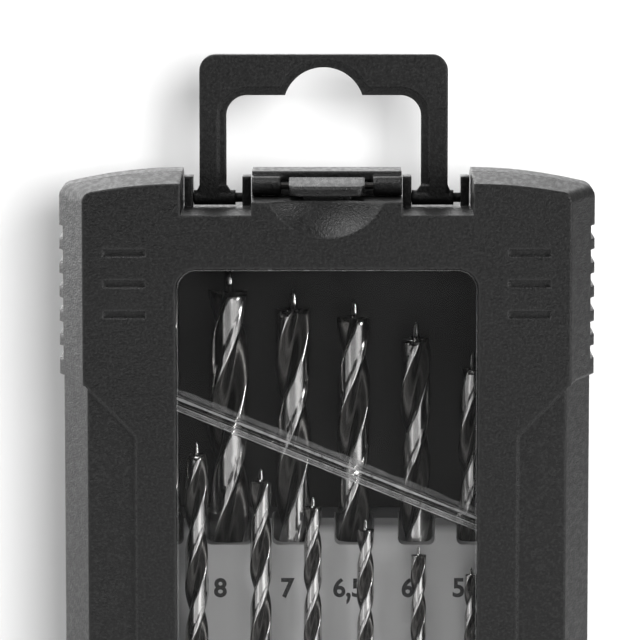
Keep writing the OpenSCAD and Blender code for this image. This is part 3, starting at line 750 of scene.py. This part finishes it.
# Reach of the shank's foot, and heights of its chamfer and of the plain neck, in diameters
FOOT_REACH, FOOT_HEIGHT, NECK = 0.9, 0.05, 1.2
BRAD_HEIGHT = 0.55
BRAD_WIDTH = 0.27
# Share of the point's height, and reach there
BRAD_PROFILE = [(0.35, 0.24), (0.7, 0.19), (0.9, 0.12), (1.0, 0.04)]
SPUR_HEIGHT = 0.16
SPUR_WIDTH = 0.06
# How far each ring of the hollow has drawn in from the rim to the point
HOLLOW_SHARES = [0.12, 0.35, 0.6, 0.82, 1.0]


def bit_rings(d, low, top, flute):
    """Every ring as a height, or one for each point, with a reach for each point, and a turn."""
    shoulder = top - d * BRAD_HEIGHT
    flute_low = top - flute
    pitch = math.pi * d / HELIX
    reach = np.array([r for _, r, _ in SECTION])
    ones = np.ones(len(SECTION))
    rings = [
        (low, ones * FOOT_REACH, 0),
        (low + FOOT_HEIGHT * d, ones, 0),
        (flute_low - NECK * d, ones, 0),
    ]
    steps = max(2, round((shoulder - flute_low) / pitch * 360 / RING_TURN))
    for i in range(-RUN_OUT, steps + 1):
        height = flute_low + (shoulder - flute_low) * i / steps
        share = min(1, (i + RUN_OUT) / RUN_OUT)
        share = share * share * (3 - 2 * share)
        rings.append((height, ones + (reach - 1) * share, 2 * math.pi * (height - flute_low) / pitch))
    last_turn = rings[-1][2]
    for share in HOLLOW_SHARES:
        drawn = reach + (BRAD_WIDTH - reach) * share
        drop = np.clip(1 - drawn / (1 - 2 * SPUR_WIDTH), 0, 1) * SPUR_HEIGHT * d
        rings.append((shoulder - drop, drawn, last_turn))
    for share, width in BRAD_PROFILE:
        rings.append((shoulder + d * BRAD_HEIGHT * share, ones * width, last_turn))
    return rings


print("rings up a bit of 8 mm:", len(bit_rings(8 * MM, 0, 117 * MM, 75 * MM)))

# %% [markdown]
# # Every bit
# The length of the flutes is what is usual for each size. The bits were dropped into their pockets
# at any angle, so each has its own turn. Lands, the shank and the point are bright, and the flutes
# are black.

# %% Skinning the rings
# Each bit: length of its flutes in mm, and how far it is turned in its pocket, in degrees
BITS = {
    "bit_9": (81, 0), "bit_8": (75, 18), "bit_7": (69, 88), "bit_6_5": (63, 16), "bit_6": (57, 129),
    "bit_5_5": (57, 122), "bit_5": (52, 40), "bit_4_8": (52, 110), "bit_4_5": (47, 91),
    "bit_4_2": (43, 12), "bit_3_5": (39, 128), "bit_3_3": (36, 141), "bit_3": (33, 18),
    "bit_2_5": (30, 144), "bit_2": (24, 75),
}
# Which ring ends the plain shank, and which one starts the hollow
NECK_RING = 2
HOLLOW_RING = -len(HOLLOW_SHARES) - len(BRAD_PROFILE)
SMOOTH_TURN = math.radians(22)


def drill_bit(node, flute_length, turned):
    low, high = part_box(node)
    middle = (low + high) / 2
    d = min(high.x - low.x, high.y - low.y)
    angles = np.radians([angle + turned for angle, _, _ in SECTION])
    count = len(SECTION)
    form = bmesh.new()
    loops = []
    for height, reach, turn in bit_rings(d, low.z, high.z, flute_length * MM):
        x = middle.x + d / 2 * reach * np.cos(angles + turn)
        y = middle.y + d / 2 * reach * np.sin(angles + turn)
        z = np.broadcast_to(height, (count,))
        loops.append([form.verts.new(point) for point in zip(x, y, z)])
    for below, above in zip(loops, loops[1:]):
        for i in range(count):
            j = (i + 1) % count
            face = form.faces.new((below[i], below[j], above[j], above[i]))
            land = SECTION[i][2] and SECTION[j][2]
            face.material_index = 0 if land else 1
            face.smooth = True
    form.faces.new(reversed(loops[0]))
    form.faces.new(loops[-1])
    neck_z = loops[NECK_RING][0].co.z
    hollow_z = loops[HOLLOW_RING][0].co.z
    for face in form.faces:
        if not neck_z < face.calc_center_median().z < hollow_z:
            face.material_index = 0
    for edge in form.edges:
        edge.smooth = edge.calc_face_angle() < SMOOTH_TURN
    mesh = bpy.data.meshes.new(node + "_ground")
    form.to_mesh(mesh)
    form.free()
    mesh.materials.append(bright_steel)
    mesh.materials.append(black_steel)
    piece = bpy.data.objects.new(node + "_ground", mesh)
    scene.collection.objects.link(piece)
    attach(piece, "rack")
    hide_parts(node)
    return len(mesh.polygons)


print("bit faces:", sum(drill_bit(node, *flutes_and_turn) for node, flutes_and_turn in BITS.items()))

# %% [markdown]
# # The printed sizes
# Each rear pocket has its bit's size under it, pad printed in black. Text objects give the figures;
# they are turned to a mesh, made exactly as tall as the print, and laid on the rack's face. The
# print has bolder figures and a longer comma than the font.

# %% Sizes under the pockets
FIGURE_HEIGHT = 3.5 * MM
FIGURE_MIDDLE = 66.8 * MM
PRINT_PROUD = 0.02 * MM
RACK_FACE_Y = -3.2 * MM
# In the font's own units: how low the comma's tail starts, and how much longer it gets
COMMA_STARTS = -0.035
COMMA_STRETCH = 2.4
# Each figure: text, shift in mm, and as much boldness as its outline takes before it breaks
SIZES = {
    "bit_9": ("9", -1.2, 0.024), "bit_8": ("8", -1.6, 0.030), "bit_7": ("7", -1.0, 0.030),
    "bit_6_5": ("6,5", -1.1, 0.026), "bit_6": ("6", -1.6, 0.030), "bit_5_5": ("5,5", -1.0, 0.026),
    "bit_5": ("5", -1.4, 0.030),
}


def text_mesh(name, text, boldness):
    curve = bpy.data.curves.new(name, "FONT")
    curve.body = text
    curve.offset = boldness
    # Any thickness will do, because it is scaled to the ink's own later
    curve.extrude = 0.01
    maker = bpy.data.objects.new("maker", curve)
    scene.collection.objects.link(maker)
    bpy.context.view_layer.update()
    mesh = bpy.data.meshes.new_from_object(maker.evaluated_get(bpy.context.evaluated_depsgraph_get()))
    bpy.data.objects.remove(maker)
    return mesh


def figure(node, text, shift, boldness):
    mesh = text_mesh("size_" + node, text, boldness)
    points = np.array([v.co for v in mesh.vertices])
    low, high = points.min(0), points.max(0)
    scale = FIGURE_HEIGHT / (high[1] - max(low[1], 0))
    box_low, box_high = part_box(node)
    middle_x = (box_low.x + box_high.x) / 2 + shift * MM
    for vertex in mesh.vertices:
        across, up, out = vertex.co
        if up < COMMA_STARTS:
            up = COMMA_STARTS + (up - COMMA_STARTS) * COMMA_STRETCH
        vertex.co = (
            middle_x + (across - (low[0] + high[0]) / 2) * scale,
            RACK_FACE_Y - PRINT_PROUD * (out - low[2]) / (high[2] - low[2]),
            FIGURE_MIDDLE - FIGURE_HEIGHT / 2 + up * scale,
        )
    mesh.materials.clear()
    mesh.materials.append(ink)
    piece = bpy.data.objects.new("size_" + node[4:], mesh)
    scene.collection.objects.link(piece)
    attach(piece, "rack")


for node, (text, shift, boldness) in SIZES.items():
    figure(node, text, shift, boldness)
print("printed sizes:", len(SIZES))

# %% [markdown]
# # Floor and wall
# The case hangs a little way in front of a pale wall, over a pale floor. The floor lies low enough
# for the lid to swing down over it. The wall is only there to be looked at from the front: it is
# clear from behind, mirrors nowhere in the case and throws no shade on it. It glows a little by
# itself, so that the shade of the case on it stays soft and light.

# %% Paints
FLOOR_TONES, WALL_TONES = (0.84, 0.86), (0.63, 0.65)
WALL_GLOW = 0.075


def paint(name, tones, rough):
    """A matt paint, a little uneven over a hand's width."""
    finish = plain(name)
    cloud = finish.grain(60 * MM)
    finish.set(Base_Color=finish.blend(grey(tones[0]), grey(tones[1]), cloud), Roughness=rough)
    return finish


pale_paint = paint("pale_paint", FLOOR_TONES, 0.9)
wall_paint = paint("wall_paint", WALL_TONES, 0.95)
wall_paint.set(Emission_Color=grey(1.0), Emission_Strength=WALL_GLOW)
from_behind = wall_paint.add("NewGeometry", output="Backfacing")
front_paint = Wire(wall_paint, wall_paint.shader.outputs[0])
nothing = wall_paint.add("BsdfTransparent")
wall_paint.end_with(wall_paint.add("MixShader", {}, {0: from_behind, 1: front_paint, 2: nothing}))
print("paints:", pale_paint.owner.name, wall_paint.owner.name)

# %% Floor and wall
FLOOR_SPAN = 3.0
FLOOR_Z = -40 * MM
WALL_SPAN = 1.2
WALL_Y = 34 * MM


def flat_sheet(name, corners, finish):
    mesh = bpy.data.meshes.new(name)
    mesh.from_pydata(corners, [], [(0, 1, 2, 3)])
    mesh.materials.append(finish)
    sheet = bpy.data.objects.new(name, mesh)
    scene.collection.objects.link(sheet)
    return sheet


half = FLOOR_SPAN / 2
floor_corners = [
    (-half, -half, FLOOR_Z), (half, -half, FLOOR_Z), (half, half, FLOOR_Z), (-half, half, FLOOR_Z),
]
flat_sheet("floor", floor_corners, pale_paint.owner)
half = WALL_SPAN / 2
wall_corners = [
    (-half, WALL_Y, FLOOR_Z), (half, WALL_Y, FLOOR_Z), (half, WALL_Y, half), (-half, WALL_Y, half),
]
wall = flat_sheet("wall", wall_corners, wall_paint.owner)
wall.visible_diffuse = False
wall.visible_glossy = False
wall.visible_shadow = False
wall.visible_transmission = False
print("floor at", round(FLOOR_Z / MM), "mm, wall at", round(WALL_Y / MM), "mm")

# %% [markdown]
# # The room
# The room gives what the case mirrors where no lamp stands. It is bright behind the case and to the
# left, and falls off to dark on the right, so the slanting left side shines and the right one does
# not. A faint glow from the upper right keeps the front from going flat.

# %% Room
BEHIND_STOPS = [(0.35, 0.0), (0.8, 1.0)]
SIDE_STOPS = [(0.15, 1.0), (0.5, 0.7), (0.60, 0.34), (0.72, 0.02)]
FRONT_STOPS = [(0.30, 0.0), (0.75, 1.0)]
BEHIND_GLOW, FRONT_GLOW = 2.05, 0.12

world = bpy.data.worlds.new("room")
scene.world = world
room = Finish(world, "Background")
direction = room.add("TexCoord", output=0)
to_right, to_back, to_top = (room.add("SeparateXYZ", {}, {0: direction}, axis) for axis in range(3))
behind = room.ramp(BEHIND_STOPS, to_back * 0.5 + 0.5)
side = room.ramp(SIDE_STOPS, to_right * 0.5 + 0.5)
front = room.ramp(FRONT_STOPS, to_right * 0.8 + to_top * 0.5 + 0.5)
room.set(Color=grey(1.0), Strength=behind * side * BEHIND_GLOW + front * FRONT_GLOW)
print("room:", len(room.tree.nodes), "nodes")

# %% [markdown]
# # The lamps
# Wide lamps give broad, quiet highlights. A tall box on each side and one over the case light the
# plastic and the bits, and a weak one by the camera lifts the front. Last, a lamp over the camera's
# shoulder lights the wall alone, by light linking, and throws the soft shade of the case on it.

# %% Soft boxes
# Each lamp: name, place, width, height and glow
SOFT_BOXES = [
    ("left_box", (-0.7, -0.2, 0.35), 0.26, 0.6, 2.6),
    ("right_box", (0.65, -0.5, 0.32), 0.16, 0.5, 11.5),
    ("top_box", (-0.3, -0.3, 0.9), 0.6, 0.35, 5.7),
    ("front_box", (0.22, -0.92, 0.15), 0.26, 0.26, 1.0),
]
CASE_MIDDLE = (0, 0, 0.09)
SHOULDER_PLACE, SHOULDER_AIM = (0.21, -0.93, 0.31), (0, 0, 0.12)
SHOULDER_SIZE, SHOULDER_GLOW = 0.34, 30


def soft_box(name, place, target, width, height, glow):
    """An area light of a given glow, turned to its target."""
    light = bpy.data.lights.new(name, "AREA")
    light.shape = "RECTANGLE"
    light.size = width
    light.size_y = height
    # By its area, so that a box keeps its glow when its size changes
    light.energy = glow * math.pi * width * height
    lamp = bpy.data.objects.new(name, light)
    lamp.location = place
    lamp.rotation_euler = (Vector(target) - Vector(place)).to_track_quat("-Z", "Y").to_euler()
    lamp.visible_camera = False
    scene.collection.objects.link(lamp)
    return lamp


for name, place, width, height, glow in SOFT_BOXES:
    soft_box(name, place, CASE_MIDDLE, width, height, glow)
shoulder = soft_box(
    "shoulder_lamp", SHOULDER_PLACE, SHOULDER_AIM, SHOULDER_SIZE, SHOULDER_SIZE, SHOULDER_GLOW
)
lit_by_it = bpy.data.collections.new("lit_by_the_shoulder_lamp")
lit_by_it.objects.link(wall)
shoulder.light_linking.receiver_collection = lit_by_it
